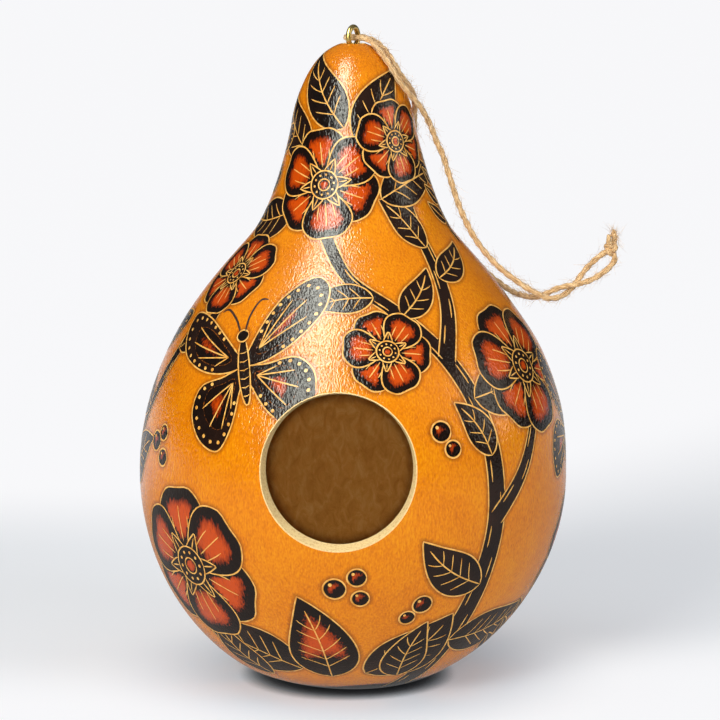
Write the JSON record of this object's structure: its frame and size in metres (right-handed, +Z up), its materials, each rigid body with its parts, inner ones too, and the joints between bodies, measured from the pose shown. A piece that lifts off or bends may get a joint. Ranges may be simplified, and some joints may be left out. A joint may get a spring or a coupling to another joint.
{
  "type": "gourd birdhouse",
  "caption": "Dried bottle-gourd birdhouse with a round entry hole in its belly, a brass screw eye in its crown and a knotted jute twine loop to hang it by.",
  "frame": {"origin": "centre of the sanded foot that the gourd stands on", "axes": "+Z up along the gourd's axis, -Y the way the entry hole faces, +X to the right as seen from the entry side"},
  "size_m": [0.142, 0.1261, 0.195],
  "materials": {
    "lacquered_gourd": "dried gourd shell, dyed amber, burnt and dyed decoration, gloss lacquer",
    "brass_wire": "bright brass-plated bent wire with a cut thread",
    "jute_twine": "two-ply twisted jute, slightly hairy"
  },
  "bodies": {
    "gourd": {"gourd_shell": "lacquered_gourd", "screw_eye": "brass_wire"},
    "hanging_loop": {"twine_hitch": "jute_twine", "twine_front_strand": "jute_twine", "twine_back_strand": "jute_twine", "twine_knot": "jute_twine", "twine_long_tail": "jute_twine", "twine_short_tail": "jute_twine"}
  },
  "joints": [
    {"name": "loop_swivel", "type": "hinge", "parent": "gourd", "child": "hanging_loop", "pos_m": [0.00118, 0.00264, 0.1911], "axis": [0, 0, 1], "range_deg": [0, 90]}
  ]
}
